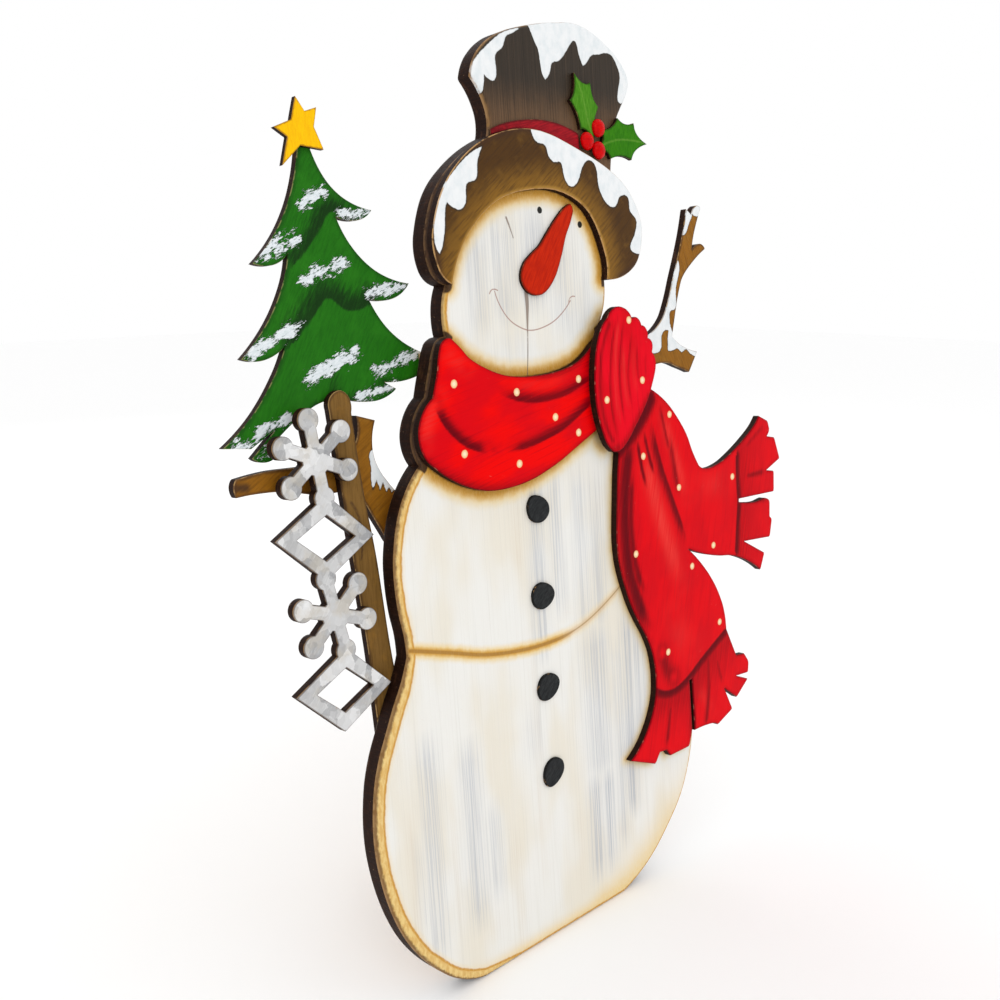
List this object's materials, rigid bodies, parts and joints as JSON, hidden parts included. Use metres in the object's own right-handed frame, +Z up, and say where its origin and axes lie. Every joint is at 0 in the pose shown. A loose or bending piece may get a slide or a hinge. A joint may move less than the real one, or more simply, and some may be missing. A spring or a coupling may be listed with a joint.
{
  "type": "wooden snowman figure",
  "caption": "Free-standing painted wooden snowman cut from boards, with hat, scarf, twig arms and a small tree, on a folding easel leg.",
  "frame": {"origin": "on the floor, at the middle of the level-cut base under the planks' seam", "axes": "+Z up, +X to the right seen from the front, +Y towards the back where the easel leg stands; the front faces -Y"},
  "size_m": [0.755, 0.2271, 0.9252],
  "materials": {
    "cream_paint": "satin antiqued paint",
    "brown_paint": "satin antiqued paint",
    "red_paint": "satin paint",
    "green_paint": "satin paint",
    "berry_paint": "gloss paint",
    "orange_paint": "satin paint",
    "charcoal_paint": "satin paint",
    "bark_paint": "satin antiqued paint",
    "yellow_paint": "satin paint",
    "edge_paint": "dark stained edges",
    "galvanised_sheet": "hot-dip galvanised, matt",
    "bare_wood": "clear, sawn",
    "zinc_steel": "zinc plated"
  },
  "bodies": {
    "figure": {"body_plank_left": "cream_paint", "body_plank_right": "cream_paint", "plank_dowels": "bare_wood", "hat_brim": "brown_paint", "hat_band": "red_paint", "holly_leaf_upper": "green_paint", "holly_leaf_side": "green_paint", "holly_berries": "berry_paint", "carrot_nose": "orange_paint", "coal_button_1": "charcoal_paint", "coal_button_2": "charcoal_paint", "coal_button_3": "charcoal_paint", "coal_button_4": "charcoal_paint", "scarf_wrap": "red_paint", "scarf_tails": "red_paint", "scarf_knot": "red_paint", "right_arm": "bark_paint", "left_arm": "bark_paint", "left_arm_spacer": "bare_wood", "tree_top": "green_paint", "tree_trunk": "bark_paint", "tree_star": "yellow_paint", "tree_spacer": "bare_wood", "ornament_backing": "edge_paint", "ornament_sheet": "galvanised_sheet", "ornament_screws": "zinc_steel", "tree_screws": "zinc_steel", "trunk_screws": "zinc_steel", "arm_screws": "zinc_steel", "upper_batten": "bare_wood", "lower_batten": "bare_wood", "batten_screws": "zinc_steel", "hinge_cheek_left": "bare_wood", "hinge_cheek_right": "bare_wood", "cheek_screws": "zinc_steel", "hinge_pin": "zinc_steel"},
    "easel": {"easel_leg": "bare_wood"}
  },
  "joints": [
    {"name": "easel_fold", "type": "hinge", "parent": "figure", "child": "easel", "pos_m": [0, 0.09003, 0.55915], "axis": [1, 0, 0], "range_deg": [-17.3, 0]}
  ]
}
